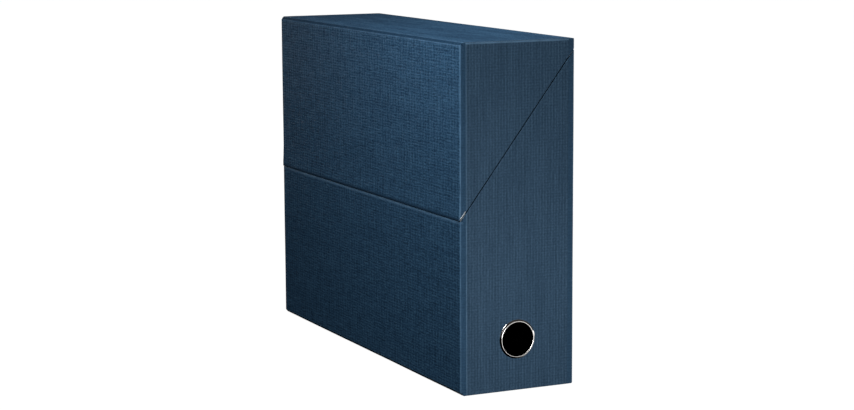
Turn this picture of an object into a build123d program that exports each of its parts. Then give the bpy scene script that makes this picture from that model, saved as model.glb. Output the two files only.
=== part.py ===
# Upright filing box of covered greyboard with a slanted, cloth-hinged lid and a finger ring.
# X runs across the spine, Y from the spine (negative) to the tail, and Z up from the shelf.
# The flap side is the broad wall at negative X, whose upper half lifts with the lid.
# The hinge side is the broad wall at positive X.

import os
from math import atan2, cos, sin, sqrt

from build123d import *

os.makedirs("parts", exist_ok=True)

# Overall size
width = 92.0
depth = 340.0
height = 255.0

# Sheet stock
board = 2.0  # greyboard walls
cover = 0.3  # embossed covering paper
lap = 0.2  # step where a pasted sheet lies over a folded tab
lining = 0.3  # black paper inside

# Folds and corners
inner_fold = 0.9  # leg of the pressed flat inside each scored fold of the flap side
hinge_fold = 1.0  # leg of the flat outside each fold of the hinge side, which is square inside
corner_radius = 1.4  # upright corners of the covering
tab = 4.5  # side covering that shows round the corner, on the ends
floor_margin = 3.0  # side covering that shows under the box, beside the floor paper

# Slanted cut between lid and base
flap_lip = 127.5  # height of the cut on the flap side
hinge_drop = 8.0  # from the top down to the cut on the hinge side
lip_gap = 0.6  # shadow gap between the closed lips
turn_in = 12.0  # covering turned over a lip and down the inside

# Cloth hinge, let into the covering of the hinge side
hinge_standoff = 0.2  # pivot line outside the wall
hinge_gap = 0.4  # bare bend between the two leaves
lower_leaf = 25.0
upper_leaf = 4.0
leaf_inset = 5.0  # from each end of the box

# Finger ring
ring_height = 38.0  # centre above the shelf
ring_bore = 25.4
ring_flange = 29.0
ring_wall = 0.4
ring_rise = 0.9  # crest of the flange above the spine paper
ring_clearance = 0.1
washer_diameter = 30.0
washer_thickness = 0.5
clinch_width = 0.8  # barrel rolled out over the washer
clinch_rise = 0.5

# Places that follow from the sizes
half_width = width / 2
paste = cover + lap
wall = cover + board
lined_wall = wall + lining
leg_growth = 2 - sqrt(2)  # a flat's leg grows by this for each mm further out through the wall
board_end = depth / 2 - paste
inner_end = board_end - board
hinge_lip = height - hinge_drop
lip_slope = atan2(hinge_lip - flap_lip, width)
lip_plane = Plane(
    origin=(-half_width, 0, flap_lip),
    x_dir=(0, 1, 0),
    z_dir=(-sin(lip_slope), 0, cos(lip_slope)),
)
board_recess = lip_gap / 2 + cover
barrel_radius = ring_bore / 2 + ring_wall
ring_hole = barrel_radius + ring_clearance
pivot_x = half_width + hinge_standoff

# Each half of the box: which side of the cut it lies on
halves = {"base": (-1, Keep.BOTTOM), "lid": (1, Keep.TOP)}
# Each narrow end: its direction along Y
ends = {"spine": -1, "tail": 1}


def lip_cut(way, distance):
    return lip_plane.offset(way * distance)


def end_plane(side, distance):
    return Plane(origin=(0, side * distance, 0), x_dir=(-side, 0, 0), z_dir=(0, side, 0))


# Cross-section of the closed box, shrunk by an inset, with a flat along each scored fold
def section(inset):
    flap_leg = inner_fold + (lined_wall - inset) * leg_growth
    hinge_leg = hinge_fold - inset * leg_growth
    with BuildSketch() as outline:
        with Locations((0, (lap + height) / 2)):
            Rectangle(width - 2 * inset, height - lap - 2 * inset)
        chamfer(outline.vertices().group_by(Axis.X)[0], flap_leg)
        if hinge_leg > 0:
            chamfer(outline.vertices().group_by(Axis.X)[-1], hinge_leg)
    return outline.sketch


def long_block(inset, end):
    with BuildPart() as block:
        with BuildSketch(Plane.XZ):
            add(section(inset))
        extrude(amount=end, both=True)
    return block.part


def rounded_block(inset, end):
    with BuildPart() as block:
        add(long_block(inset, end))
        with BuildSketch():
            RectangleRounded(width - 2 * inset, 2 * end, corner_radius - inset)
        extrude(amount=height, mode=Mode.INTERSECT)
    return block.part


# A rectangle in the XZ section, drawn out to both sides of the middle
def bar(x_range, z_range, end):
    with BuildPart() as solid:
        with BuildSketch(Plane.XZ):
            with Locations(((x_range[0] + x_range[1]) / 2, (z_range[0] + z_range[1]) / 2)):
                Rectangle(x_range[1] - x_range[0], z_range[1] - z_range[0])
        extrude(amount=end, both=True)
    return solid.part


def export(piece, name):
    piece.part.label = name
    export_step(piece.part, f"parts/{name}.step")


# Folded greyboard shells: flap wall, floor and hinge wall in the base; flap, top and hinge strip in the lid
shells = {}
for half, (way, keep) in halves.items():
    with BuildPart() as shell_board:
        add(rounded_block(cover, board_end))
        add(long_block(wall, depth), mode=Mode.SUBTRACT)
        split(bisect_by=lip_cut(way, board_recess), keep=keep)
    shells[half] = shell_board.part
    export(shell_board, f"{half}_shell_board")


# Hole for the finger ring, through one layer of the spine
def ring_opening(start, thickness):
    with BuildPart() as plug:
        with BuildSketch(end_plane(ends["spine"], start)):
            with Locations((0, ring_height)):
                Circle(ring_hole)
        extrude(amount=thickness)
    return plug.part


# Covering turned over the slanted lip of an end board and pasted down inside
def turned_end(side, way, keep, end_board):
    other = Keep.TOP if keep == Keep.BOTTOM else Keep.BOTTOM
    with BuildPart() as band:
        with BuildSketch(end_plane(side, inner_end - lining)):
            with Locations((0, (lap + height) / 2)):
                Rectangle(width - 2 * tab, height - lap - 2 * lined_wall)
        extrude(amount=board + lining)
        split(bisect_by=lip_cut(way, lip_gap / 2), keep=keep)
        split(bisect_by=lip_cut(way, lip_gap / 2 + turn_in), keep=other)
        add(end_board, mode=Mode.SUBTRACT)
    return band.part


# End boards, end papers and end linings
for half, (way, keep) in halves.items():
    for end, side in ends.items():
        has_ring = half == "base" and end == "spine"

        with BuildPart() as end_board:
            with BuildSketch(end_plane(side, inner_end)):
                add(section(wall))
            extrude(amount=board)
            split(bisect_by=lip_cut(way, board_recess), keep=keep)
            if has_ring:
                add(ring_opening(inner_end, board), mode=Mode.SUBTRACT)
        export(end_board, f"{half}_{end}_board")

        with BuildPart() as end_paper:
            with BuildSketch(end_plane(side, board_end)):
                with Locations((0, (lap + height - cover) / 2)):
                    Rectangle(width - 2 * tab, height - cover - lap)
            extrude(amount=paste)
            split(bisect_by=lip_cut(way, lip_gap / 2), keep=keep)
            add(turned_end(side, way, keep, end_board.part))
            if has_ring:
                add(ring_opening(board_end, paste), mode=Mode.SUBTRACT)
        export(end_paper, f"{half}_{end}_paper")

        with BuildPart() as end_lining:
            with BuildSketch(end_plane(side, inner_end - lining)):
                add(section(lined_wall))
            extrude(amount=lining)
            split(bisect_by=lip_cut(way, lip_gap / 2 + turn_in), keep=keep)
            if has_ring:
                add(ring_opening(inner_end - lining, lining), mode=Mode.SUBTRACT)
        export(end_lining, f"{half}_{end}_lining")

# Floor paper, pasted over the folded-in edges of the side coverings
with BuildPart() as floor_paper:
    add(bar((floor_margin - half_width, half_width - floor_margin), (0, paste), board_end))
export(floor_paper, "floor_paper")


# Covering turned over the flap-side lip and pasted down inside, short of the end boards
def turned_flap(way, keep, shell):
    with BuildPart() as band:
        add(
            bar(
                (cover - half_width, lined_wall - half_width),
                (flap_lip - turn_in, flap_lip + turn_in),
                inner_end - lining,
            )
        )
        split(bisect_by=lip_cut(way, lip_gap / 2), keep=keep)
        add(shell, mode=Mode.SUBTRACT)
    return band.part


# Covering paper round the whole closed box, open where the end papers and floor paper go
with BuildPart() as covering:
    add(rounded_block(0, depth / 2 - lap))
    add(rounded_block(cover, board_end), mode=Mode.SUBTRACT)
    add(bar((tab - half_width, half_width - tab), (0, height - cover), depth), mode=Mode.SUBTRACT)
    add(floor_paper.part, mode=Mode.SUBTRACT)

# Recess in the covering for the two cloth leaves
leaf_x = (half_width - cover, half_width)
leaf_end = depth / 2 - leaf_inset
leaf_recess = bar(leaf_x, (hinge_lip - lower_leaf, hinge_lip + upper_leaf), leaf_end)

with BuildPart() as base_flap_cover:
    add(covering.part)
    split(bisect_by=lip_cut(-1, lip_gap / 2), keep=Keep.BOTTOM)
    split(bisect_by=Plane.YZ, keep=Keep.BOTTOM)
    add(turned_flap(*halves["base"], shells["base"]))
export(base_flap_cover, "base_flap_cover")

with BuildPart() as base_hinge_cover:
    add(covering.part)
    split(bisect_by=lip_cut(-1, lip_gap / 2), keep=Keep.BOTTOM)
    split(bisect_by=Plane.YZ, keep=Keep.TOP)
    add(leaf_recess, mode=Mode.SUBTRACT)
export(base_hinge_cover, "base_hinge_cover")

with BuildPart() as lid_wrap:
    add(covering.part)
    split(bisect_by=lip_cut(1, lip_gap / 2), keep=Keep.TOP)
    add(leaf_recess, mode=Mode.SUBTRACT)
    add(turned_flap(*halves["lid"], shells["lid"]))
export(lid_wrap, "lid_wrap")

# Cloth leaves either side of the pivot line
with BuildPart() as hinge_cloth_base:
    add(bar(leaf_x, (hinge_lip - lower_leaf, hinge_lip - hinge_gap / 2), leaf_end))
export(hinge_cloth_base, "hinge_cloth_base")

with BuildPart() as hinge_cloth_lid:
    add(bar(leaf_x, (hinge_lip + hinge_gap / 2, hinge_lip + upper_leaf), leaf_end))
export(hinge_cloth_lid, "hinge_cloth_lid")


# Lining turned over the slanted lip of the hinge side, out to the cloth
def turned_hinge(way, keep):
    other = Keep.TOP if keep == Keep.BOTTOM else Keep.BOTTOM
    with BuildPart() as band:
        add(
            bar(
                (half_width - lined_wall, half_width - cover),
                (hinge_lip - hinge_drop, hinge_lip + hinge_drop),
                inner_end,
            )
        )
        split(bisect_by=lip_cut(way, lip_gap / 2), keep=keep)
        split(bisect_by=lip_cut(way, board_recess), keep=other)
    return band.part


# Long black linings, leaving room for the turned-in covering on the flap side
flap_band = bar(
    (wall - half_width, lined_wall - half_width),
    (flap_lip - turn_in, flap_lip + turn_in),
    inner_end,
)
for half, (way, keep) in halves.items():
    with BuildPart() as wall_lining:
        add(long_block(wall, inner_end))
        add(long_block(lined_wall, depth), mode=Mode.SUBTRACT)
        split(bisect_by=lip_cut(way, board_recess), keep=keep)
        add(flap_band, mode=Mode.SUBTRACT)
        add(turned_hinge(way, keep))
    export(wall_lining, f"{half}_wall_lining")

# Finger ring: radius and distance outwards from the spine paper, turned about the ring's axis
ring_plane = Plane(origin=(0, -depth / 2, ring_height), x_dir=(1, 0, 0), z_dir=(0, 0, -1))
ring_axis = Axis((0, -depth / 2, ring_height), (0, 1, 0))
grip = paste + board + lining
clinch_seat = -(grip + washer_thickness)
bore_radius = ring_bore / 2
crest = (barrel_radius, ring_rise)
clinch_end = clinch_seat - clinch_rise

with BuildPart() as ring_eyelet:
    with BuildSketch(ring_plane):
        with BuildLine():
            Polyline(
                (ring_flange / 2, 0),
                (barrel_radius, 0),
                (barrel_radius, clinch_seat),
                (barrel_radius + clinch_width, clinch_seat),
                (barrel_radius, clinch_end),
                (bore_radius, clinch_end + ring_wall),
                (bore_radius, ring_rise - ring_wall),
            )
            TangentArc((bore_radius, ring_rise - ring_wall), crest, tangent=(0, 1))
            TangentArc(crest, (ring_flange / 2, 0), tangent=(1, 0))
        make_face()
    revolve(axis=ring_axis)
export(ring_eyelet, "ring_eyelet")

with BuildPart() as ring_washer:
    with BuildSketch(ring_plane):
        with Locations(((ring_hole + washer_diameter / 2) / 2, -grip - washer_thickness / 2)):
            Rectangle(washer_diameter / 2 - ring_hole, washer_thickness)
    revolve(axis=ring_axis)
    inner_rim = ring_washer.edges().group_by(Axis.Y)[-1].sort_by(SortBy.RADIUS)[-1]
    chamfer(inner_rim, washer_thickness / 3)
export(ring_washer, "ring_washer")

print(f"pivot line at x {pivot_x:.2f}, z {hinge_lip:.2f}; lip slope {lip_slope:.4f} rad")
print(f"ring bore from y {-depth / 2 - ring_rise + ring_wall:.2f} to {-depth / 2 - clinch_end - ring_wall:.2f}")
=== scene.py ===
import math

import bmesh
import bpy
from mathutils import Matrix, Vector


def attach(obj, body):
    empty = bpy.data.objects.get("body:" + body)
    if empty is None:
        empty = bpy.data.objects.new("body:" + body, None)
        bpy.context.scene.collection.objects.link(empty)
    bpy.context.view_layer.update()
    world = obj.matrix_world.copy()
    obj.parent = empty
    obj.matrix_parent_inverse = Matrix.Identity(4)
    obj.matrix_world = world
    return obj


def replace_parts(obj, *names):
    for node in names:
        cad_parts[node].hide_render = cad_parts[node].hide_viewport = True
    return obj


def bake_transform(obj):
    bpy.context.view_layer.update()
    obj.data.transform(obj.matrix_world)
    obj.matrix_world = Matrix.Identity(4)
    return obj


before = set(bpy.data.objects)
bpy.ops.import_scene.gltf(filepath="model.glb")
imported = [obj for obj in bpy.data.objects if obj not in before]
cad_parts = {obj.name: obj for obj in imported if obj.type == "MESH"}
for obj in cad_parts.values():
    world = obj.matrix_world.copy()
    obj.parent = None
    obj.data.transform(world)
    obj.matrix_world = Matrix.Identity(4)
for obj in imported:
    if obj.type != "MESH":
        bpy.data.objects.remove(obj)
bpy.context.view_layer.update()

mm = 0.001
scene = bpy.context.scene
scene.view_settings.view_transform = "Standard"
print("frame loaded")

# The box as the CAD has it, in mm: x across the spine, y from spine to tail, z up
box = {
    "halfWidth": 46.0,
    "height": 255.0,
    "spineFace": 170.0,      # outer face of the end papers
    "tabFace": 169.8,        # outer face of the side covering on the ends
    "tabEdge": 41.5,         # where the end papers meet the tabs
    "under": 0.2,            # the side covering stands this far off the shelf
    "flapLip": 127.5,
    "hingeLip": 247.0,
    "lipGap": 0.6,
    "wall": 2.6,             # covering, board and what is pasted inside
    "innerEnd": 167.2,       # inner face of the end linings
    "turnIn": 12.0,
    "paper": 0.3,
}
lipSlope = math.atan2(box["hingeLip"] - box["flapLip"], 2 * box["halfWidth"])
lipNormal = Vector((-math.sin(lipSlope), 0, math.cos(lipSlope)))
lipAlong = Vector((math.cos(lipSlope), 0, math.sin(lipSlope)))
lipPoint = Vector((-box["halfWidth"], 0, box["flapLip"])) * mm


def deselectAll():
    if bpy.context.mode != "OBJECT":
        bpy.ops.object.mode_set(mode="OBJECT")
    bpy.ops.object.select_all(action="DESELECT")


def makeActive(piece):
    deselectAll()
    piece.select_set(True)
    bpy.context.view_layer.objects.active = piece


def edit(piece):
    makeActive(piece)
    bpy.ops.object.mode_set(mode="EDIT")


def nameIt(piece, name):
    piece.name = name
    piece.data.name = name
    return piece


def copyOf(piece, name):
    makeActive(piece)
    bpy.ops.object.duplicate(linked=False)
    return nameIt(bpy.context.object, name)


# a cube at its size and place, with its place in its mesh
def startBlock(name, low, high):
    deselectAll()
    low, high = Vector(low) * mm, Vector(high) * mm
    bpy.ops.mesh.primitive_cube_add(size=1, location=(low + high) / 2, scale=high - low)
    bpy.ops.object.transform_apply(location=True, rotation=True, scale=True)
    return nameIt(bpy.context.object, name)


# select faces, edges or corners of the mesh in edit mode, by a test on their place
def pick(kind, test):
    bpy.ops.mesh.select_mode(type=kind)
    bpy.ops.mesh.select_all(action="DESELECT")
    data = bpy.context.object.data
    mesh = bmesh.from_edit_mesh(data)
    found = {"FACE": mesh.faces, "EDGE": mesh.edges, "VERT": mesh.verts}[kind]
    for part in [part for part in found if test(part)]:
        part.select_set(True)
    bmesh.update_edit_mesh(data)


def middle(part):
    corners = [v.co for v in part.verts]
    return sum(corners, Vector()) / len(corners) / mm


def runsAlong(edge, axis):
    way = (edge.verts[1].co - edge.verts[0].co).normalized()
    return abs(way[axis]) > 0.9999


def near(a, b, slack=0.02):
    return abs(a - b) < slack


# distance of a point in mm above the slanted cut
def aboveLip(point):
    return (point - lipPoint / mm).dot(lipNormal)


# straight cut through the whole mesh; clear is "low" or "high" along the normal
def cutPlane(point, normal, clear=None):
    bpy.ops.mesh.select_mode(type="FACE")
    selectAll()
    bpy.ops.mesh.bisect(
        plane_co=point, plane_no=normal, threshold=1e-7,
        clear_inner=clear == "low", clear_outer=clear == "high",
    )


def cutAcross(axis, places):
    normal = Vector([float(axis == i) for i in range(3)])
    for place in places:
        cutPlane(normal * place * mm, normal)


def applyModifier(piece, kind, **settings):
    makeActive(piece)
    modifier = piece.modifiers.new(kind.title(), kind)
    for key, value in settings.items():
        setattr(modifier, key, value)
    bpy.ops.object.modifier_apply(modifier=modifier.name)


def deleteFaces(test):
    pick("FACE", test)
    bpy.ops.mesh.delete(type="FACE")


def selectAll():
    bpy.ops.mesh.select_all(action="SELECT")


def bevelEdges(size, segments):
    bpy.ops.mesh.bevel(offset=size * mm, segments=segments, affect="EDGES", clamp_overlap=False)


def extrudeEdges(move):
    bpy.ops.mesh.extrude_edges_move(TRANSFORM_OT_translate={"value": move})


# broad faces keep flat shading up to the small rounds beside them
def weighNormals(piece):
    applyModifier(piece, "WEIGHTED_NORMAL", keep_sharp=True, weight=80)


# The threads of the emboss follow the sheet: u along them, v across, one unit for 10 mm
def unrollWeave(piece, upright):
    data = piece.data
    layer = data.uv_layers.new(name="weave")
    for face in data.polygons:
        n = face.normal
        for loop in face.loop_indices:
            x, y, z = data.vertices[data.loops[loop].vertex_index].co * 100
            if upright:
                layer.data[loop].uv = (z + 3.1, x if abs(n.x) < 0.7 else y)
            elif abs(n.y) > 0.7:
                layer.data[loop].uv = (x - y, z)
            else:
                layer.data[loop].uv = (y, z if abs(n.x) > 0.5 else x + 40)


def smoothShading(piece, angle=35):
    makeActive(piece)
    bpy.ops.object.shade_smooth_by_angle(angle=math.radians(angle))


def link(tree, fromSocket, toSocket):
    tree.links.new(fromSocket, toSocket)


def newMaterial(name):
    material = bpy.data.materials.new(name)
    material.use_nodes = True
    tree = material.node_tree
    tree.nodes.clear()
    output = tree.nodes.new("ShaderNodeOutputMaterial")
    shader = tree.nodes.new("ShaderNodeBsdfPrincipled")
    link(tree, shader.outputs[0], output.inputs["Surface"])
    return material, tree, shader


def mathNode(tree, operation, first, second=None, clamp=False):
    node = tree.nodes.new("ShaderNodeMath")
    node.operation = operation
    node.use_clamp = clamp
    for socket, value in zip(node.inputs, (first, second)):
        if isinstance(value, (int, float)):
            socket.default_value = value
        elif value is not None:
            link(tree, value, socket)
    return node.outputs[0]


def times(tree, first, second):
    return mathNode(tree, "MULTIPLY", first, second)


def plus(tree, first, second, clamp=False):
    return mathNode(tree, "ADD", first, second, clamp)


def larger(tree, first, second):
    return mathNode(tree, "MAXIMUM", first, second)


def noiseNode(tree, vector, scale, detail=2.0, roughness=0.5, stretch=(1, 1, 1), shift=(0, 0, 0)):
    mapping = tree.nodes.new("ShaderNodeMapping")
    mapping.inputs["Scale"].default_value = stretch
    mapping.inputs["Location"].default_value = shift
    link(tree, vector, mapping.inputs["Vector"])
    noise = tree.nodes.new("ShaderNodeTexNoise")
    noise.inputs["Scale"].default_value = scale
    noise.inputs["Detail"].default_value = detail
    noise.inputs["Roughness"].default_value = roughness
    link(tree, mapping.outputs[0], noise.inputs["Vector"])
    return noise.outputs["Fac"]


def rampNode(tree, factor, stops):
    ramp = tree.nodes.new("ShaderNodeValToRGB")
    while len(ramp.color_ramp.elements) < len(stops):
        ramp.color_ramp.elements.new(0.5)
    for element, (place, colour) in zip(ramp.color_ramp.elements, stops):
        element.position = place
        element.color = (*colour, 1)
    link(tree, factor, ramp.inputs[0])
    return ramp.outputs[0]


def rangeNode(tree, value, low, high, toLow=0.0, toHigh=1.0):
    node = tree.nodes.new("ShaderNodeMapRange")
    node.interpolation_type = "SMOOTHSTEP"
    for name, number in (("From Min", low), ("From Max", high), ("To Min", toLow), ("To Max", toHigh)):
        node.inputs[name].default_value = number
    link(tree, value, node.inputs["Value"])
    return node.outputs[0]


def mixColour(tree, factor, first, second, blend="MIX"):
    node = tree.nodes.new("ShaderNodeMix")
    node.data_type = "RGBA"
    node.blend_type = blend
    if isinstance(factor, (int, float)):
        node.inputs[0].default_value = factor
    else:
        link(tree, factor, node.inputs[0])
    for socket, value in ((node.inputs[6], first), (node.inputs[7], second)):
        if isinstance(value, tuple):
            socket.default_value = (*value, 1)
        else:
            link(tree, value, socket)
    return node.outputs[2]


def bumpNode(tree, height, strength, distance, shader):
    bump = tree.nodes.new("ShaderNodeBump")
    bump.inputs["Strength"].default_value = strength
    bump.inputs["Distance"].default_value = distance
    link(tree, height, bump.inputs["Height"])
    link(tree, bump.outputs[0], shader.inputs["Normal"])


# Linen-embossed covering: long threads one way, shorter ones across, slubs and a slow drift of tone.
# Places and reaches are in metres, shares run from 0 to 1
linen = {
    "valley": (0.0080, 0.0230, 0.0460),
    "thread": (0.0175, 0.0485, 0.0940),
    "crest": (0.0335, 0.0835, 0.1450),
    # pale colour for worn edges and painted highlights in one
    "wornHighlight": (0.0900, 0.1700, 0.2650),
    "longRows": 4.6,          # threads in 10 mm
    "longBreaks": (0.9, 5.0, 1.0),
    "longShare": 0.31,
    "crossRows": 2.1,
    "crossBreaks": (2.5, 0.7, 1.0),
    "crossShare": 0.23,
    "wander": 9.0,
    "grain": 0.55,
    "grainScale": 7.0,
    "streak": 0.08,
    "topStreak": 0.34,
    "streakStretch": (0.12, 0.9, 1.0),
    "topPlace": (0.2545, 0.2549),           # z where the walls give way to the top
    "rubScale": 90.0,
    "rubLeast": 0.6,
    "bumpStrength": 0.8,
    "bumpDepth": 0.00016,
    "roughness": 0.46,
    "gloss": 0.008,
    "ridgeLeg": 0.00242,
    "ridgeReach": 0.0007,
    # wear and painted highlight on the ridges beside the flats
    "ridgeWearAndHighlight": 0.24,
    "cornerWide": (0.0450, 0.0457),         # the upright corners, across the spine
    "cornerAlong": (0.1687, 0.1694),        # and from spine to tail
    "topEndUp": (0.2543, 0.2547),           # the ends of the top fold
    "topEndAlong": (0.1688, 0.1695),
    "lidPlace": (0.1270, 0.1280),           # z where the base gives way to the lid
    # wear and painted highlight on the upright corners, stronger on the lid
    "baseUpright": 0.48,
    "lidUpright": 0.62,
    # painted shade in the pressed flats
    "valleyShade": 0.80,
    "flapSide": (-0.043, -0.045),
    # painted highlight on the base's lip under the crease
    "lipReach": 0.0026,
    "lipHighlight": 0.36,
    # painted shade on the lid's flap just above the crease
    "lipShadeReach": 0.0030,
    "lipShadeShare": 0.8,
    "tabPlace": (0.1692, 0.1697),
    "tabShare": 0.70,
    "tabTone": (0.0245, 0.0570, 0.1020),    # beside the flap wall
    "farTab": (0.0275, 0.0580, 0.0990),     # beside the hinge wall
}
endLinen = {
    **linen,
    # the end papers' tones are greyer and lighter, with a painted sheen of reflected light taken into them
    "valley": (0.0180, 0.0400, 0.0690),
    "thread": (0.0285, 0.0585, 0.0980),
    "crest": (0.0420, 0.0830, 0.1340),
    "longRows": 4.2,
    "longBreaks": (0.5, 4.0, 1.0),
    "longShare": 0.36,
    "crossRows": 4.8,
    "crossBreaks": (4.0, 0.6, 1.0),
    "crossShare": 0.15,
    "wander": 4.0,
    "grain": 0.45,
    "streak": 0.18,
    "topStreak": 0.18,
    "bumpDepth": 0.00012,
    "gloss": 0.03,
    # wear and painted highlight along the end papers' edge by the tab and under the top
    "edge": 0.0415,
    "topEdge": 0.2547,
    "topReach": 0.0016,
    "edgeReach": 0.0010,
    "lidEdgePlace": (0.1325, 0.1340),
    "baseEdge": 0.58,
    "lidEdge": 0.34,
    "topWearAndHighlight": 1.0,
}


# rows of threads that wander a little and swell and thin along their length
def threads(tree, sheet, across, rows, breaks, wander):
    drift = noiseNode(tree, sheet, 1.0, 1.0, 0.5, breaks)
    swell = noiseNode(tree, sheet, 1.0, 1.0, 0.5, breaks, (3, 8, 0))
    swell = rangeNode(tree, swell, 0.35, 0.65, 0.2, 1.0)
    phase = plus(tree, times(tree, across, rows * 2 * math.pi), times(tree, drift, wander))
    return times(tree, mathNode(tree, "SINE", phase), swell)


# height of the emboss, from 0 in the valleys to 1 on the threads
def embossHeight(tree, look, z):
    uv = tree.nodes.new("ShaderNodeUVMap")
    uv.uv_map = "weave"
    sheet = uv.outputs[0]
    split = tree.nodes.new("ShaderNodeSeparateXYZ")
    link(tree, sheet, split.inputs[0])
    long = threads(tree, sheet, split.outputs[1], look["longRows"], look["longBreaks"], look["wander"])
    cross = threads(tree, sheet, split.outputs[0], look["crossRows"], look["crossBreaks"], look["wander"])
    grain = rangeNode(tree, noiseNode(tree, sheet, look["grainScale"], 1.0, 0.6), 0.3, 0.7, -0.5, 0.5)
    streak = noiseNode(tree, sheet, 1.0, 2.0, 0.6, look["streakStretch"])
    streak = rangeNode(tree, streak, 0.3, 0.7, -0.5, 0.5)
    streakShare = rangeNode(tree, z, *look["topPlace"], look["streak"], look["topStreak"])
    weave = times(tree, long, look["longShare"])
    weave = plus(tree, weave, times(tree, cross, look["crossShare"]))
    weave = plus(tree, weave, times(tree, grain, look["grain"]))
    weave = plus(tree, weave, times(tree, streak, streakShare))
    return plus(tree, weave, 0.5, clamp=True)


def linenMaterial(name, look):
    material, tree, shader = newMaterial(name)
    place = tree.nodes.new("ShaderNodeTexCoord").outputs["Object"]
    split = tree.nodes.new("ShaderNodeSeparateXYZ")
    link(tree, place, split.inputs[0])
    x, y, z = split.outputs
    height = embossHeight(tree, look, z)
    colour = rampNode(tree, height, ((0.0, look["valley"]), (0.5, look["thread"]), (1.0, look["crest"])))
    if "edge" in look:
        wearAndHighlight = endPaperWearAndHighlights(tree, x, z, look)
    else:
        along = mathNode(tree, "ABSOLUTE", y)
        onTab = times(tree, rangeNode(tree, along, *look["tabPlace"]), look["tabShare"])
        farSide = mathNode(tree, "GREATER_THAN", x, 0.0)
        colour = mixColour(tree, onTab, colour, mixColour(tree, farSide, look["tabTone"], look["farTab"]))
        wearAndHighlight = coverWearAndHighlights(tree, x, along, z, look)
        # painted shade in the pressed flats
        colour = mixColour(tree, pressedFlatShade(tree, x, z, look), colour, look["valley"])
        # painted shade on the lid's flap above the crease
        lipShade = times(tree, lipShadeBand(tree, x, z, look), look["lipShadeShare"])
        colour = mixColour(tree, lipShade, colour, look["valley"])
    # wear and painted highlight in one pale colour, broken up by rubbing
    rub = rangeNode(tree, noiseNode(tree, place, look["rubScale"], 3.0), 0.35, 0.6, look["rubLeast"], 1.0)
    colour = mixColour(tree, times(tree, wearAndHighlight, rub), colour, look["wornHighlight"])
    link(tree, colour, shader.inputs["Base Color"])
    smooth, rough = look["roughness"] - 0.06, look["roughness"] + 0.10
    link(tree, rangeNode(tree, height, 0.2, 0.8, rough, smooth), shader.inputs["Roughness"])
    shader.inputs["Specular IOR Level"].default_value = look["gloss"]
    bumpNode(tree, height, look["bumpStrength"], look["bumpDepth"], shader)
    return material


# end papers: wear and a painted highlight along the edge that meets the near tab, and just under the top
def endPaperWearAndHighlights(tree, x, z, look):
    reach, under = look["edgeReach"], look["topEdge"] - look["topReach"]
    side = rangeNode(tree, x, reach - look["edge"], reach / 3 - look["edge"])
    top = rangeNode(tree, z, under, under + look["topReach"] / 2)
    sideWearAndHighlight = rangeNode(tree, z, *look["lidEdgePlace"], look["baseEdge"], look["lidEdge"])
    return larger(tree, times(tree, side, sideWearAndHighlight), times(tree, top, look["topWearAndHighlight"]))


# the covering gets wear and painted highlights at its upright corners, the ends of the top fold and the
# ridges of the flats, and a painted highlight on the base's lip under the lid's lip
def coverWearAndHighlights(tree, x, along, z, look):
    wide = mathNode(tree, "ABSOLUTE", x)
    upright = times(
        tree, rangeNode(tree, wide, *look["cornerWide"]), rangeNode(tree, along, *look["cornerAlong"]),
    )
    topEnd = times(
        tree, rangeNode(tree, z, *look["topEndUp"]), rangeNode(tree, along, *look["topEndAlong"]),
    )
    uprightWearAndHighlight = rangeNode(tree, z, *look["lidPlace"], look["baseUpright"], look["lidUpright"])
    wearAndHighlight = times(tree, larger(tree, upright, topEnd), uprightWearAndHighlight)
    wearAndHighlight = larger(tree, wearAndHighlight, times(tree, ridgeLines(tree, x, z, look), look["ridgeWearAndHighlight"]))
    return larger(tree, wearAndHighlight, times(tree, lipHighlightBand(tree, x, z, look), look["lipHighlight"]))


# painted shade along the lower edge of the lid's flap, where the crease below it lies in shadow
def lipShadeBand(tree, x, z, look):
    level = box["flapLip"] * mm
    fade = rangeNode(tree, z, level + look["lipShadeReach"], level + look["lipShadeReach"] / 2)
    band = times(tree, mathNode(tree, "GREATER_THAN", z, level), fade)
    return times(tree, band, rangeNode(tree, x, *look["flapSide"]))


# painted highlight on the rounded upper edge of the base's flap wall, under the lid's lip, where it catches
# light from above
def lipHighlightBand(tree, x, z, look):
    level = box["flapLip"] * mm
    fade = rangeNode(tree, z, level - look["lipReach"], level - look["lipReach"] / 2)
    band = times(tree, fade, mathNode(tree, "LESS_THAN", z, level))
    return times(tree, band, rangeNode(tree, x, *look["flapSide"]))


# how far a point is from the edge that the two faces beside a fold would meet in, across x and across z
def awayFromFold(tree, x, z):
    centre, half = (box["height"] + box["under"]) / 2 * mm, (box["height"] - box["under"]) / 2 * mm
    fromMiddle = mathNode(tree, "ABSOLUTE", mathNode(tree, "SUBTRACT", z, centre))
    return plus(tree, x, box["halfWidth"] * mm), mathNode(tree, "SUBTRACT", half, fromMiddle)


# wear and painted highlights on the ridges along both sides of the pressed flats
def ridgeLines(tree, x, z, look):
    lines = []
    across, down = awayFromFold(tree, x, z)
    for first, second in ((across, down), (down, across)):
        off = mathNode(tree, "ABSOLUTE", mathNode(tree, "SUBTRACT", first, look["ridgeLeg"]))
        reach = larger(tree, off, second)
        lines.append(rangeNode(tree, reach, look["ridgeReach"], look["ridgeReach"] / 3))
    return larger(tree, *lines)


# the flat itself, pressed down, with painted shade that darkens it as a groove in shadow
def pressedFlatShade(tree, x, z, look):
    across, down = awayFromFold(tree, x, z)
    inside = larger(tree, across, down)
    leg = look["ridgeLeg"]
    return times(tree, rangeNode(tree, inside, leg * 0.95, leg * 0.8), look["valleyShade"])


linenPaper = linenMaterial("linenPaper", linen)
endLinenPaper = linenMaterial("endLinenPaper", endLinen)


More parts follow.
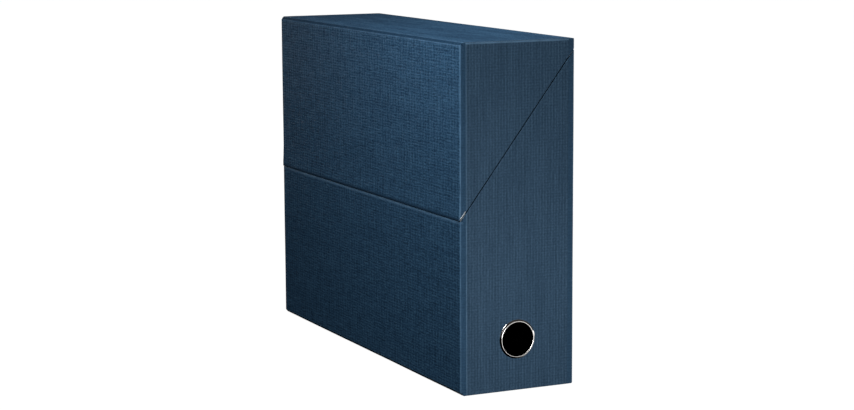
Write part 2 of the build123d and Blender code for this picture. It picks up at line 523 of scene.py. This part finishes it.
def plainPaper(name, dark, light, roughness, gloss):
    material, tree, shader = newMaterial(name)
    place = tree.nodes.new("ShaderNodeTexCoord").outputs["Object"]
    fibre = noiseNode(tree, place, 700.0, 3.0, 0.6)
    cloud = noiseNode(tree, place, 25.0, 2.0)
    mixed = plus(tree, times(tree, fibre, 0.6), times(tree, cloud, 0.4))
    link(tree, rampNode(tree, mixed, ((0.3, dark), (0.7, light))), shader.inputs["Base Color"])
    sheen = rangeNode(tree, fibre, 0.3, 0.7, roughness + 0.06, roughness - 0.06)
    link(tree, sheen, shader.inputs["Roughness"])
    shader.inputs["Specular IOR Level"].default_value = gloss
    bumpNode(tree, fibre, 0.35, 0.00006, shader)
    return material


liningPaper = plainPaper("liningPaper", (0.007, 0.007, 0.009), (0.020, 0.020, 0.023), 0.72, 0.3)
floorPaper = plainPaper("floorPaper", (0.013, 0.016, 0.021), (0.030, 0.035, 0.043), 0.68, 0.1)

# Raw board: layers along the sheet and flecks of old paper
rawBoard = {
    "plies": (900, 120, 900),
    "fleckScale": 1400.0,
    "tones": ((0.32, (0.48, 0.52, 0.55)), (0.5, (0.68, 0.74, 0.78)), (0.7, (0.86, 0.91, 0.94))),
    "roughness": 0.85,
    "bumpDepth": 0.00012,
}


def boardMaterial():
    material, tree, shader = newMaterial("greyboard")
    place = tree.nodes.new("ShaderNodeTexCoord").outputs["Object"]
    ply = noiseNode(tree, place, 1.0, 4.0, 0.6, rawBoard["plies"])
    fleck = noiseNode(tree, place, rawBoard["fleckScale"], 2.0, 0.5)
    mixed = plus(tree, times(tree, ply, 0.6), times(tree, fleck, 0.4))
    link(tree, rampNode(tree, mixed, rawBoard["tones"]), shader.inputs["Base Color"])
    shader.inputs["Roughness"].default_value = rawBoard["roughness"]
    bumpNode(tree, mixed, 0.6, rawBoard["bumpDepth"], shader)
    return material


greyboard = boardMaterial()

# Nickel plating: a slight haze and fine scratches
nickel = {
    "hazeScale": 260.0,
    "scratches": (2500, 400, 300),
    "tones": ((0.3, (0.55, 0.53, 0.51)), (0.7, (0.68, 0.66, 0.64))),
    "roughness": (0.03, 0.08),
    "bumpDepth": 0.00002,
}


def ringMaterial():
    material, tree, shader = newMaterial("nickelPlate")
    place = tree.nodes.new("ShaderNodeTexCoord").outputs["Object"]
    haze = noiseNode(tree, place, nickel["hazeScale"], 3.0)
    scratch = noiseNode(tree, place, 1.0, 3.0, 0.6, nickel["scratches"])
    link(tree, rampNode(tree, haze, nickel["tones"]), shader.inputs["Base Color"])
    shader.inputs["Metallic"].default_value = 1.0
    dulled = rangeNode(tree, times(tree, haze, scratch), 0.12, 0.40, *nickel["roughness"])
    link(tree, dulled, shader.inputs["Roughness"])
    bumpNode(tree, scratch, 0.15, nickel["bumpDepth"], shader)
    return material


nickelPlate = ringMaterial()

# Book cloth of the hinge: fine threads both ways
cloth = {
    "warp": (1.6, 22.0, 1.0),
    "weft": (22.0, 1.6, 1.0),
    "tones": ((0.0, (0.008, 0.020, 0.042)), (0.5, (0.026, 0.058, 0.104)), (1.0, (0.044, 0.088, 0.145))),
    "roughness": 0.78,
    "gloss": 0.06,
    "bumpDepth": 0.00010,
}


def clothMaterial():
    material, tree, shader = newMaterial("bookCloth")
    uv = tree.nodes.new("ShaderNodeUVMap")
    uv.uv_map = "weave"
    warp = noiseNode(tree, uv.outputs[0], 1.0, 2.0, 0.6, cloth["warp"])
    weft = noiseNode(tree, uv.outputs[0], 1.0, 2.0, 0.6, cloth["weft"], (5, 9, 0))
    height = rangeNode(tree, plus(tree, times(tree, warp, 0.5), times(tree, weft, 0.5)), 0.36, 0.64)
    link(tree, rampNode(tree, height, cloth["tones"]), shader.inputs["Base Color"])
    shader.inputs["Specular IOR Level"].default_value = cloth["gloss"]
    shader.inputs["Roughness"].default_value = cloth["roughness"]
    bumpNode(tree, height, 0.9, cloth["bumpDepth"], shader)
    return material


bookCloth = clothMaterial()
print("materials made")


def dress(piece, material):
    piece.data.materials.clear()
    piece.data.materials.append(material)


for name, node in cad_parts.items():
    if name.endswith("_board"):
        dress(node, greyboard)
    elif name.endswith("_lining"):
        dress(node, liningPaper)
dress(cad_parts["floor_paper"], floorPaper)

# Covering of the long sides and the top, made once round the closed box and then cut apart
cover = {
    "foldLeg": 2.42,          # leg of the pressed flat along each fold of the flap side
    "hingeFold": 1.0,         # rounding of the folds of the hinge side
    "cornerRadius": 1.4,
    "ridge": 0.45,            # rounding of the two ridges beside each flat
    "valleyInset": 0.6,
    "valleyDepth": 0.2,
    "floorEdge": 43.0,
    "gridY": (-160, -140, -120, -95, -70, -45, -15, 15, 45, 70, 95, 120, 140, 160),
    "gridZ": (15, 35, 60, 85, 105, 120, 150, 175, 200, 225, 243),
    "gridX": (-30, -15, 0, 15, 30),
    "supports": (0.9, 3.3),   # cuts beside the folds that hold the broad faces flat
    "waveSize": 70,           # slow unevenness of the broad walls
    "waveHeight": 0.26,
    "lidLipRound": 0.45,
    "baseLipRound": 1.2,
    "innerLipRound": 0.8,
    "flapProud": 0.55,        # the flap's lip stands out past the wall below it
    "proudRise": 18.0,        # and comes back to the wall over this height
    "proudRows": (0.25, 0.5, 1.0),
    "proudSteps": ((-9, 0.3, 1.0), (0.4, 0.6, 0.5)),    # rows from and to, and how far they come out
    "tabBack": 1.25,          # the lid's near tabs are cut back here, so that raw board shows
}


def isLongFold(side):
    return lambda edge: runsAlong(edge, 1) and near(middle(edge).x, side * box["halfWidth"])


def isUprightCorner(edge):
    m = middle(edge)
    return runsAlong(edge, 2) and near(abs(m.x), box["halfWidth"]) and near(abs(m.y), box["tabFace"])


def isFoldFlat(face):
    n = face.normal
    return n.x < 0 and abs(n.y) < 0.02 and near(abs(n.x), abs(n.z), 0.02) and face.calc_area() > 1e-4


def isRidge(edge):
    atEnd = any(abs(f.normal.y) > 0.98 for f in edge.link_faces)
    return any(isFoldFlat(f) for f in edge.link_faces) and not atEnd


shell = startBlock(
    "coverShell",
    (-box["halfWidth"], -box["tabFace"], box["under"]),
    (box["halfWidth"], box["tabFace"], box["height"]),
)
edit(shell)
for edges, size, segments in (
    (isLongFold(-1), cover["foldLeg"], 1),
    (isLongFold(1), cover["hingeFold"], 4),
    (isUprightCorner, cover["cornerRadius"], 6),
    (isRidge, cover["ridge"], 3),
):
    pick("EDGE", edges)
    bevelEdges(size, segments)
pick("FACE", isFoldFlat)
bpy.ops.mesh.inset(thickness=cover["valleyInset"] * mm, depth=-cover["valleyDepth"] * mm)
cutAcross(1, cover["gridY"])
cutAcross(2, cover["gridZ"])
for places in (cover["gridX"], (-box["tabEdge"], box["tabEdge"]), (-cover["floorEdge"], cover["floorEdge"])):
    cutAcross(0, places)
cutAcross(1, (-box["innerEnd"], box["innerEnd"]))
for support in cover["supports"]:
    cutAcross(0, (support - box["halfWidth"], box["halfWidth"] - support))
    cutAcross(2, (box["under"] + support, box["height"] - support))
deleteFaces(lambda f: abs(f.normal.y) > 0.9 and abs(middle(f).x) < box["tabEdge"])
deleteFaces(lambda f: f.normal.z < -0.9 and abs(middle(f).x) < cover["floorEdge"])
bpy.ops.object.mode_set(mode="OBJECT")
waves = bpy.data.textures.new("boardWaves", "CLOUDS")
waves.noise_scale = cover["waveSize"] * mm
applyModifier(
    shell, "DISPLACE", texture=waves, texture_coords="LOCAL",
    strength=cover["waveHeight"] * mm, mid_level=0.2,
)
print("covering shell made", len(shell.data.polygons))


# Fold the covering over the lip of the flap side and paste it down inside
def turnInFlap(way, lipRound):
    lipHeight = way * box["lipGap"] / 2

    def alongLip(edge, slack):
        m = middle(edge)
        return runsAlong(edge, 1) and near(aboveLip(m), lipHeight, slack) and abs(m.y) < box["innerEnd"]

    pick("EDGE", lambda edge: (
        alongLip(edge, 0.05) and middle(edge).x < 1 - box["halfWidth"] and len(edge.link_faces) == 1
    ))
    extrudeEdges(lipAlong * box["wall"] * mm / math.cos(lipSlope))
    extrudeEdges((0, 0, way * box["turnIn"] * mm))
    for place, size in ((box["wall"], cover["innerLipRound"]), (0, lipRound)):
        pick("EDGE", lambda edge: (
            alongLip(edge, 0.2) and near(middle(edge).x, place - box["halfWidth"], 0.3)
            and len(edge.link_faces) == 2
        ))
        bevelEdges(size, 4)


# Cloth hinge: the strip, and the recess that it lies in
hinge = {
    "pivot": 247.0,
    "low": 222.0,
    "high": 251.0,
    "end": 165.0,
    "face": 46.0,
    "thick": 0.3,
    "sink": 0.12,             # the bend lies this far in
    "sunkRows": (246.7, 247.3),
    "gridY": range(-150, 151, 25),
    "rowsBelow": (224, 228, 234, 240, 244, 245.5, 246.2),
    "rowsBend": (246.6, 246.75, 246.9, 247.0, 247.1, 247.25, 247.4),
    "rowsAbove": (247.9, 248.6, 250.0),
}


def clearClothRecess():
    cutAcross(1, (-hinge["end"], hinge["end"]))
    cutAcross(2, (hinge["low"], hinge["high"]))
    deleteFaces(
        lambda f: f.normal.x > 0.9 and abs(middle(f).y) < hinge["end"]
        and hinge["low"] < middle(f).z < hinge["high"]
    )


def finishCover(piece, body, node):
    bpy.ops.object.mode_set(mode="OBJECT")
    applyModifier(piece, "SOLIDIFY", thickness=box["paper"] * mm, offset=-1)
    unrollWeave(piece, upright=False)
    dress(piece, linenPaper)
    smoothShading(piece)
    weighNormals(piece)
    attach(piece, body)
    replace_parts(piece, node)
    print(piece.name, len(piece.data.polygons))


# the folded tabs beside the flap wall, at both ends
def onFlapTab(face):
    return abs(face.normal.y) > 0.7 and middle(face).x < -40


lidWrap = copyOf(shell, "lidWrap")
edit(lidWrap)
cutPlane(lipPoint + lipNormal * box["lipGap"] / 2 * mm, lipNormal, "low")
clearClothRecess()
pick("FACE", onFlapTab)
tabCut = lipPoint + lipNormal * cover["tabBack"] * mm
bpy.ops.mesh.bisect(plane_co=tabCut, plane_no=lipNormal, threshold=1e-7)
deleteFaces(lambda f: onFlapTab(f) and aboveLip(middle(f)) < cover["tabBack"])
turnInFlap(1, cover["lidLipRound"])
cutAcross(2, [box["flapLip"] + cover["proudRise"] * share for share in cover["proudRows"]])
for low, high, share in cover["proudSteps"]:
    pick("VERT", lambda v: (
        v.co.x < (1 - box["halfWidth"]) * mm
        and low < (v.co.z / mm - box["flapLip"]) / cover["proudRise"] < high
    ))
    bpy.ops.transform.translate(value=(-cover["flapProud"] * share * mm, 0, 0))
finishCover(lidWrap, "lid", "lid_wrap")

baseFlapCover = copyOf(shell, "baseFlapCover")
edit(baseFlapCover)
cutPlane(lipPoint - lipNormal * box["lipGap"] / 2 * mm, lipNormal, "high")
cutPlane(Vector(), Vector((1, 0, 0)), "high")
turnInFlap(-1, cover["baseLipRound"])
finishCover(baseFlapCover, "base", "base_flap_cover")

baseHingeCover = copyOf(shell, "baseHingeCover")
edit(baseHingeCover)
cutPlane(lipPoint - lipNormal * box["lipGap"] / 2 * mm, lipNormal, "high")
cutPlane(Vector(), Vector((1, 0, 0)), "low")
clearClothRecess()
finishCover(baseHingeCover, "base", "base_hinge_cover")

deselectAll()
bpy.data.objects.remove(shell)

# End papers, pasted over the tabs and turned in over the slanted lip
endPaper = {
    "top": 254.7,
    "foot": 0.2,
    "thick": 0.45,
    "depth": 2.8,            # from the outer face over the lip to the inner face
    "innerEdge": 43.3,       # the part turned in reaches the long walls inside
    "lipRound": 0.55,
    "lipEnd": 40.0,          # the round stops here
    "gridX": (-20, 0, 20),
    "gridZ": (30, 60, 90, 120, 150, 180, 210, 240),
    "ringHeight": 38.0,
    "ringHole": 13.6,
}


def punchRingHole(piece, face):
    deselectAll()
    bpy.ops.mesh.primitive_cylinder_add(
        vertices=96, radius=endPaper["ringHole"] * mm, depth=20 * mm,
        location=(0, face * mm, endPaper["ringHeight"] * mm), rotation=(math.pi / 2, 0, 0),
    )
    punch = bpy.context.object
    applyModifier(piece, "BOOLEAN", operation="DIFFERENCE", object=punch, solver="EXACT")
    bpy.data.objects.remove(punch)


def makeEndPaper(name, side, half, node):
    way, cutAway = (1, "low") if half == "lid" else (-1, "high")
    outer = box["spineFace"]
    inner = outer - endPaper["depth"]
    lipHeight = way * box["lipGap"] / 2
    low, high = sorted((side * outer, side * (outer - 1)))
    piece = startBlock(
        name, (-endPaper["innerEdge"], low, endPaper["foot"]), (endPaper["innerEdge"], high, endPaper["top"]),
    )
    edit(piece)
    deleteFaces(lambda f: f.normal.y * side < 0.5)
    cutPlane(lipPoint + lipNormal * lipHeight * mm, lipNormal, cutAway)
    pick("EDGE", lambda e: near(aboveLip(middle(e)), lipHeight) and len(e.link_faces) == 1)
    extrudeEdges(Vector((0, -side * endPaper["depth"] * mm, 0)))
    extrudeEdges(lipNormal * way * box["turnIn"] * mm)
    pick("EDGE", lambda e: (
        near(aboveLip(middle(e)), lipHeight) and len(e.link_faces) == 2
        and abs(middle(e).x) < endPaper["lipEnd"]
    ))
    bevelEdges(endPaper["lipRound"], 3)
    for edge in (-1, 1):
        normal = Vector((edge, 0, 0))
        cutPlane(normal * endPaper["innerEdge"] * mm, normal, "high")
        pick("FACE", lambda f: not near(side * middle(f).y, inner))
        bpy.ops.mesh.bisect(plane_co=normal * box["tabEdge"] * mm, plane_no=normal, threshold=1e-7)
    deleteFaces(lambda f: abs(middle(f).x) > box["tabEdge"] and not near(side * middle(f).y, inner))
    cutPlane(Vector((0, 0, endPaper["top"])) * mm, Vector((0, 0, 1)), "high")
    takesRing = side < 0 and half == "base"
    if not takesRing:
        cutAcross(0, endPaper["gridX"])
        cutAcross(2, endPaper["gridZ"])
    bpy.ops.object.mode_set(mode="OBJECT")
    applyModifier(piece, "SOLIDIFY", thickness=endPaper["thick"] * mm, offset=-1, use_even_offset=True)
    if takesRing:
        punchRingHole(piece, side * outer)
    unrollWeave(piece, upright=True)
    dress(piece, endLinenPaper)
    smoothShading(piece)
    weighNormals(piece)
    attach(piece, half)
    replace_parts(piece, node)
    print(piece.name, len(piece.data.polygons))


for half in ("base", "lid"):
    for end, side in (("Spine", -1), ("Tail", 1)):
        makeEndPaper(f"{half}{end}Paper", side, half, f"{half}_{end.lower()}_paper")

# One strip of book cloth across the pivot line, sunk a little along the line where it would bend as the lid
# turns
deselectAll()
bpy.ops.mesh.primitive_plane_add(
    size=1, rotation=(0, math.pi / 2, 0),
    location=Vector((hinge["face"], 0, (hinge["low"] + hinge["high"]) / 2)) * mm,
)
hingeCloth = nameIt(bpy.context.object, "hingeCloth")
hingeCloth.scale = ((hinge["high"] - hinge["low"]) * mm, 2 * hinge["end"] * mm, 1)
bpy.ops.object.transform_apply(location=True, rotation=True, scale=True)
edit(hingeCloth)
cutAcross(2, hinge["rowsBelow"] + hinge["rowsBend"] + hinge["rowsAbove"])
cutAcross(1, hinge["gridY"])
pick("VERT", lambda v: hinge["sunkRows"][0] < v.co.z / mm < hinge["sunkRows"][1])
bpy.ops.transform.translate(value=(-hinge["sink"] * mm, 0, 0))
bpy.ops.object.mode_set(mode="OBJECT")
if hingeCloth.data.polygons[0].normal.x < 0:
    edit(hingeCloth)
    selectAll()
    bpy.ops.mesh.flip_normals()
    bpy.ops.object.mode_set(mode="OBJECT")
applyModifier(hingeCloth, "SOLIDIFY", thickness=hinge["thick"] * mm, offset=-1)
unrollWeave(hingeCloth, upright=False)
dress(hingeCloth, bookCloth)
smoothShading(hingeCloth)
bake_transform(hingeCloth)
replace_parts(hingeCloth, "hinge_cloth_base", "hinge_cloth_lid")
print("hinge cloth made")

# Finger ring and its washer, spun from their profiles: radius, and distance outwards from the spine, in mm
ring = {
    "centre": Vector((0, -170.0, 38.0)),
    "steps": 120,
    "smoothUnder": 40,        # degrees
    "profile": (
        (13.1, -3.3), (13.9, -3.3), (13.75, -3.45), (13.1, -3.8), (12.7, -3.4), (12.7, -1.5),
        (12.7, 0.60), (12.71, 0.74), (12.75, 0.82), (12.82, 0.88), (12.90, 0.90), (13.04, 0.905),
        (13.18, 0.90), (13.27, 0.87), (13.37, 0.80), (13.52, 0.70), (13.85, 0.50), (14.20, 0.28),
        (14.41, 0.14), (14.5, 0.0), (14.35, 0.0), (13.1, 0.0),
    ),
    "washerProfile": (
        (13.2, -2.8), (15.0, -2.8), (15.0, -3.1), (14.95, -3.22), (14.83, -3.3), (13.2, -3.3),
    ),
}


def spinProfile(name, profile):
    deselectAll()
    bpy.ops.mesh.primitive_plane_add(size=0.001)
    piece = nameIt(bpy.context.object, name)
    edit(piece)
    selectAll()
    bpy.ops.mesh.merge(type="CENTER")
    places = [ring["centre"] + Vector((radius, -outwards, 0)) for radius, outwards in profile]
    bpy.ops.transform.translate(value=places[0] * mm)
    for last, place in zip(places, places[1:]):
        bpy.ops.mesh.extrude_region_move(TRANSFORM_OT_translate={"value": (place - last) * mm})
    selectAll()
    bpy.ops.mesh.edge_face_add()
    selectAll()
    bpy.ops.mesh.delete(type="ONLY_FACE")
    selectAll()
    bpy.ops.mesh.spin(steps=ring["steps"], angle=2 * math.pi, center=ring["centre"] * mm, axis=(0, 1, 0))
    selectAll()
    bpy.ops.mesh.remove_doubles(threshold=1e-6)
    bpy.ops.mesh.normals_make_consistent(inside=False)
    bpy.ops.object.mode_set(mode="OBJECT")
    dress(piece, nickelPlate)
    smoothShading(piece, ring["smoothUnder"])
    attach(piece, "base")
    print(piece.name, len(piece.data.polygons))
    return piece


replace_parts(spinProfile("fingerRing", ring["profile"]), "ring_eyelet")
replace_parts(spinProfile("ringWasher", ring["washerProfile"]), "ring_washer")
print("ring made")

# Studio: white floor that keeps a soft shadow, plain soft lamps, and the photo's view
studio = {
    "floorSize": 30.0,
    "floorColour": 0.08,
    "nearGlow": 0.97,         # under and round the box, so that its shadow stays
    "farGlow": 1.0,
    "glowReach": (0.4, 1.1),
    "mirroredFloor": 2.1,     # how bright the floor is in mirrors, in front of the spine
    "mirroredDark": 0.0,      # and off to the flap side
    "mirroredFrom": (0.01, 0.09),
    "worldLevel": 0.14,
    "worldMirrored": 0.06,
    "lamps": {
        "frontLamp": {"place": (-0.02, -0.47, 0.05), "size": 0.1, "power": 0.70, "aim": (0, -0.17, 0.05)},
        "sideLamp": {"place": (-0.28, -0.19, 0.455), "size": 0.16, "power": 1.66, "aim": (-0.046, -0.1, 0.2)},
        "flapLamp": {"place": (-0.45, -0.45, 0.55), "size": 0.3, "power": 1.3, "aim": (-0.046, -0.1, 0.2)},
        "topLamp": {"place": (0.25, -0.05, 0.42), "size": 0.15, "power": 1.30, "aim": (0, -0.05, 0.255)},
        "hingeLamp": {"place": (1.20, 0.50, 0.17), "size": 0.5, "power": 8.0, "aim": (0.046, 0, 0.13)},
        "tailLamp": {"place": (0.10, 1.70, 0.17), "size": 0.7, "power": 12.0, "aim": (0, 0.17, 0.13)},
    },
}


# the floor shows white to the camera; mirrors see it bright in front and dark off to the flap side
def floorGlow(tree, shader, output):
    path = tree.nodes.new("ShaderNodeLightPath")
    place = tree.nodes.new("ShaderNodeTexCoord").outputs["Object"]
    split = tree.nodes.new("ShaderNodeSeparateXYZ")
    link(tree, place, split.inputs[0])
    x = split.outputs[0]
    bright = rangeNode(tree, x, *studio["mirroredFrom"], studio["mirroredDark"], studio["mirroredFloor"])
    mirrored = larger(tree, path.outputs["Is Glossy Ray"], path.outputs["Is Transmission Ray"])
    distance = tree.nodes.new("ShaderNodeVectorMath")
    distance.operation = "LENGTH"
    link(tree, place, distance.inputs[0])
    away = distance.outputs["Value"]
    glowLevel = rangeNode(tree, away, *studio["glowReach"], studio["nearGlow"], studio["farGlow"])
    seen = times(tree, path.outputs["Is Camera Ray"], glowLevel)
    lit = mathNode(tree, "SUBTRACT", 1.0, path.outputs["Is Glossy Ray"])
    link(tree, times(tree, lit, studio["floorColour"]), shader.inputs["Base Color"])
    glow = tree.nodes.new("ShaderNodeEmission")
    link(tree, larger(tree, seen, times(tree, mirrored, bright)), glow.inputs["Strength"])
    both = tree.nodes.new("ShaderNodeAddShader")
    link(tree, shader.outputs[0], both.inputs[0])
    link(tree, glow.outputs[0], both.inputs[1])
    link(tree, both.outputs[0], output.inputs["Surface"])


deselectAll()
bpy.ops.mesh.primitive_plane_add(size=studio["floorSize"])
studioFloor = nameIt(bpy.context.object, "studioFloor")
floorMaterial, floorTree, floorShader = newMaterial("floorWhite")
floorShader.inputs["Roughness"].default_value = 0.9
floorShader.inputs["Specular IOR Level"].default_value = 0.0
floorOutput = [n for n in floorTree.nodes if n.type == "OUTPUT_MATERIAL"][0]
floorGlow(floorTree, floorShader, floorOutput)
dress(studioFloor, floorMaterial)

world = bpy.data.worlds.new("studioWorld")
scene.world = world
world.use_nodes = True
worldTree = world.node_tree
worldTree.nodes.clear()
worldOutput = worldTree.nodes.new("ShaderNodeOutputWorld")
background = worldTree.nodes.new("ShaderNodeBackground")
path = worldTree.nodes.new("ShaderNodeLightPath")
background.inputs["Color"].default_value = (1, 1, 1, 1)
level = studio["worldLevel"]
seen = times(worldTree, path.outputs["Is Camera Ray"], 1 - level)
mirrored = times(worldTree, path.outputs["Is Glossy Ray"], studio["worldMirrored"] - level)
strength = plus(worldTree, plus(worldTree, seen, mirrored), level)
link(worldTree, strength, background.inputs["Strength"])
link(worldTree, background.outputs[0], worldOutput.inputs["Surface"])

for name, lampLook in studio["lamps"].items():
    deselectAll()
    bpy.ops.object.light_add(type="AREA", location=lampLook["place"])
    lamp = bpy.context.object
    lamp.name = name
    lamp.data.size = lampLook["size"]
    lamp.data.energy = lampLook["power"]
    lamp.visible_camera = False
    aim = Vector(lampLook["aim"]) - Vector(lampLook["place"])
    lamp.rotation_euler = aim.to_track_quat("-Z", "Y").to_euler()

view = {
    "place": (-0.698, -1.4811, 0.364),
    "yaw": 25.56,
    "pitch": 8.705,
    "roll": 0.278,
    "lens": 87.94,
}
deselectAll()
bpy.ops.object.camera_add(location=view["place"])
camera = bpy.context.object
camera.name = "photoCamera"
yaw, pitch, roll = (math.radians(view[k]) for k in ("yaw", "pitch", "roll"))
camera.rotation_euler = (math.pi / 2 - pitch, roll, -yaw)
camera.data.lens = view["lens"]
camera.data.sensor_width = 36
camera.data.clip_end = 100
scene.camera = camera
print("studio made")

bpy.context.view_layer.update()
